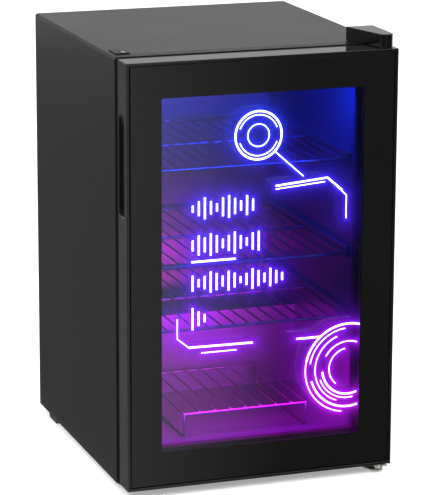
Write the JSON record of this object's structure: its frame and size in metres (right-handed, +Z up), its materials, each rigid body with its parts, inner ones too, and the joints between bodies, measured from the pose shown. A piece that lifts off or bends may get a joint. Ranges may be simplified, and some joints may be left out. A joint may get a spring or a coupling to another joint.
{
  "type": "mini fridge",
  "caption": "Free-standing black beverage fridge with a hinged edge-lit glass door, sliding wire shelves, a bottom rack and a rear compressor bay.",
  "frame": {"origin": "on the floor plane, under the middle of the overall box with the door shut and the feet on the floor", "axes": "+Z up; -Y out through the door; +X to the hinge side, which is the right side seen from the front"},
  "size_m": [0.43, 0.484, 0.69],
  "materials": {
    "painted_steel": "satin",
    "galvanised_steel": "satin",
    "black_abs": "satin",
    "black_liner": "satin",
    "foam": "matte",
    "zinc_plate": "satin",
    "black_rubber": "matte",
    "coated_wire": "gloss",
    "opal_plastic": "satin",
    "white_board": "matte",
    "red_plastic": "gloss",
    "aluminium": "satin",
    "copper": "satin",
    "compressor_paint": "satin",
    "door_glass": "gloss",
    "clear_acrylic": "polished",
    "nylon": "matte"
  },
  "bodies": {
    "cabinet": {"outer_shell": "painted_steel", "back_panel": "painted_steel", "base_panel": "galvanised_steel", "compressor_rail": "galvanised_steel", "front_trim": "black_abs", "hinge_blanking_plug": "black_abs", "hinge_cover": "black_abs", "control_housing": "black_abs", "relay_cover": "black_abs", "drain_tray": "black_abs", "drain_tube": "black_abs", "inner_liner": "black_liner", "foam_insulation": "foam", "top_hinge_plate": "zinc_plate", "lower_hinge_bracket": "zinc_plate", "blanking_plug_screw": "zinc_plate", "top_hinge_screw_1": "zinc_plate", "top_hinge_screw_2": "zinc_plate", "lower_hinge_screw_1": "zinc_plate", "lower_hinge_screw_2": "zinc_plate", "thermostat_body": "zinc_plate", "rear_foot_left": "black_rubber", "rear_foot_right": "black_rubber", "mains_lead_gland": "black_rubber", "compressor_grommet_1": "black_rubber", "compressor_grommet_2": "black_rubber", "compressor_grommet_3": "black_rubber", "compressor_grommet_4": "black_rubber", "lamp_lens": "opal_plastic", "lamp_board": "white_board", "evaporator_plate": "aluminium", "condenser_coil": "copper", "discharge_tube": "copper", "suction_tube": "copper", "filter_dryer": "copper", "capillary_tube": "copper", "compressor": "compressor_paint"},
    "door": {"door_frame": "black_abs", "door_back_frame": "black_abs", "grip_insert": "black_abs", "front_glass": "door_glass", "light_panel": "clear_acrylic", "led_strip_bottom": "white_board", "led_strip_top": "white_board", "glazing_spacer": "aluminium", "inner_glass": "door_glass", "door_gasket": "black_rubber", "hinge_bush_bottom": "nylon", "hinge_bush_top": "nylon"},
    "upper_shelf": {"shelf_upper": "coated_wire"},
    "middle_shelf": {"shelf_middle": "coated_wire"},
    "lower_shelf": {"shelf_lower": "coated_wire"},
    "rack": {"bottom_rack": "coated_wire"},
    "knob": {"thermostat_knob": "black_abs"},
    "rocker": {"light_switch": "red_plastic"},
    "left_foot": {"front_foot_left": "black_abs"},
    "right_foot": {"front_foot_right": "black_abs"}
  },
  "joints": [
    {"name": "door_hinge", "type": "hinge", "parent": "cabinet", "child": "door", "pos_m": [0.196, -0.229, 0.34], "axis": [0, 0, 1], "range_deg": [0, 130]},
    {"name": "upper_shelf_slide", "type": "slide", "parent": "cabinet", "child": "upper_shelf", "axis": [0, -1, 0], "range_m": [0, 0.015]},
    {"name": "middle_shelf_slide", "type": "slide", "parent": "cabinet", "child": "middle_shelf", "axis": [0, -1, 0], "range_m": [0, 0.015]},
    {"name": "lower_shelf_slide", "type": "slide", "parent": "cabinet", "child": "lower_shelf", "axis": [0, -1, 0], "range_m": [0, 0.015]},
    {"name": "rack_slide", "type": "slide", "parent": "cabinet", "child": "rack", "axis": [0, -1, 0], "range_m": [0, 0.02]},
    {"name": "thermostat_turn", "type": "hinge", "parent": "cabinet", "child": "knob", "pos_m": [-0.04, -0.128, 0.61], "axis": [0, -1, 0], "range_deg": [0, 300]},
    {"name": "light_rocker", "type": "hinge", "parent": "cabinet", "child": "rocker", "pos_m": [0.04, -0.122, 0.61], "axis": [1, 0, 0], "range_deg": [0, 14]},
    {"name": "left_foot_screw", "type": "hinge", "parent": "cabinet", "child": "left_foot", "pos_m": [-0.19, -0.158, 0], "axis": [0, 0, 1], "continuous": true},
    {"name": "right_foot_screw", "type": "hinge", "parent": "cabinet", "child": "right_foot", "pos_m": [0.19, -0.158, 0], "axis": [0, 0, 1], "continuous": true}
  ]
}
